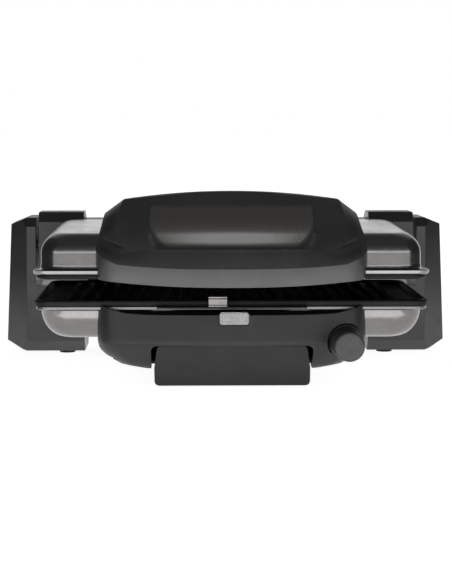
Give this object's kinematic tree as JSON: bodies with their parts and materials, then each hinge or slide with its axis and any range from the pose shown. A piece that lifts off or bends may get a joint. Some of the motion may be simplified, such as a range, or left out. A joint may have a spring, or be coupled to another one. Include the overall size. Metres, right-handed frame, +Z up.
{
  "type": "panini press",
  "caption": "Electric contact grill: ribbed plates in metal casings, a floating lid on two hinge towers, a grip hood, a thermostat knob and a pull-out drip tray.",
  "frame": {"origin": "on the table under the middle of the press's bounding box", "axes": "+X to the right of a user who faces the front, +Y to the back, +Z up; the front faces -Y"},
  "size_m": [0.387, 0.296, 0.1487],
  "materials": {
    "gunmetal": "satin",
    "nonstick": "satin",
    "heater_steel": "matte",
    "bright_steel": "brushed",
    "zinc_steel": "satin",
    "graphite_plastic": "matte",
    "base_plastic": "matte",
    "clear_lens": "polished",
    "lamp_glass": "polished",
    "ceramic_white": "matte",
    "thermostat_body": "matte",
    "rubber_black": "matte",
    "nylon": "satin",
    "knob_plastic": "satin"
  },
  "bodies": {
    "base": {"lower_shell": "gunmetal", "lower_grill_plate": "nonstick", "lower_heating_element": "heater_steel", "lower_reflector": "bright_steel", "lower_thermal_fuse": "zinc_steel", "lower_plate_clip": "bright_steel", "lower_fascia": "graphite_plastic", "indicator_lens": "clear_lens", "indicator_lamps": "lamp_glass", "thermostat": "thermostat_body", "base_pan": "base_plastic", "rear_housing": "base_plastic", "rear_housing_cover": "base_plastic", "cord_gland": "rubber_black", "terminal_block": "ceramic_white", "tower_left": "graphite_plastic", "tower_right": "graphite_plastic", "tower_floor_left": "base_plastic", "tower_floor_right": "base_plastic", "guide_rail_left": "zinc_steel", "guide_rail_right": "zinc_steel", "tower_feet": "rubber_black", "front_feet": "rubber_black", "base_screws": "zinc_steel"},
    "carriage": {"hinge_shaft": "bright_steel", "shaft_rings": "zinc_steel", "slide_block_left": "nylon", "slide_block_right": "nylon"},
    "lid": {"upper_shell": "gunmetal", "upper_grill_plate": "nonstick", "upper_heating_element": "heater_steel", "upper_reflector": "bright_steel", "upper_thermal_fuse": "zinc_steel", "lid_hood": "graphite_plastic", "grip_liner": "graphite_plastic", "hinge_cover_left": "graphite_plastic", "hinge_cover_right": "graphite_plastic", "hinge_arm_left": "zinc_steel", "hinge_arm_right": "zinc_steel", "lid_rear_cover": "graphite_plastic"},
    "knob": {"control_knob": "knob_plastic", "thermostat_spindle": "zinc_steel"},
    "tray": {"drip_tray": "base_plastic"}
  },
  "joints": [
    {"name": "lid_float", "type": "slide", "parent": "base", "child": "carriage", "axis": [0, 0, 1], "range_m": [-0.007, 0.012]},
    {"name": "lid_hinge", "type": "hinge", "parent": "carriage", "child": "lid", "pos_m": [0, 0.112, 0.094], "axis": [-1, 0, 0], "range_deg": [0, 100]},
    {"name": "knob_turn", "type": "hinge", "parent": "base", "child": "knob", "pos_m": [0.0876, -0.13, 0.0338], "axis": [0, 1, 0], "range_deg": [0, 270]},
    {"name": "tray_slide", "type": "slide", "parent": "base", "child": "tray", "axis": [0, -1, 0], "range_m": [0, 0.115]}
  ]
}
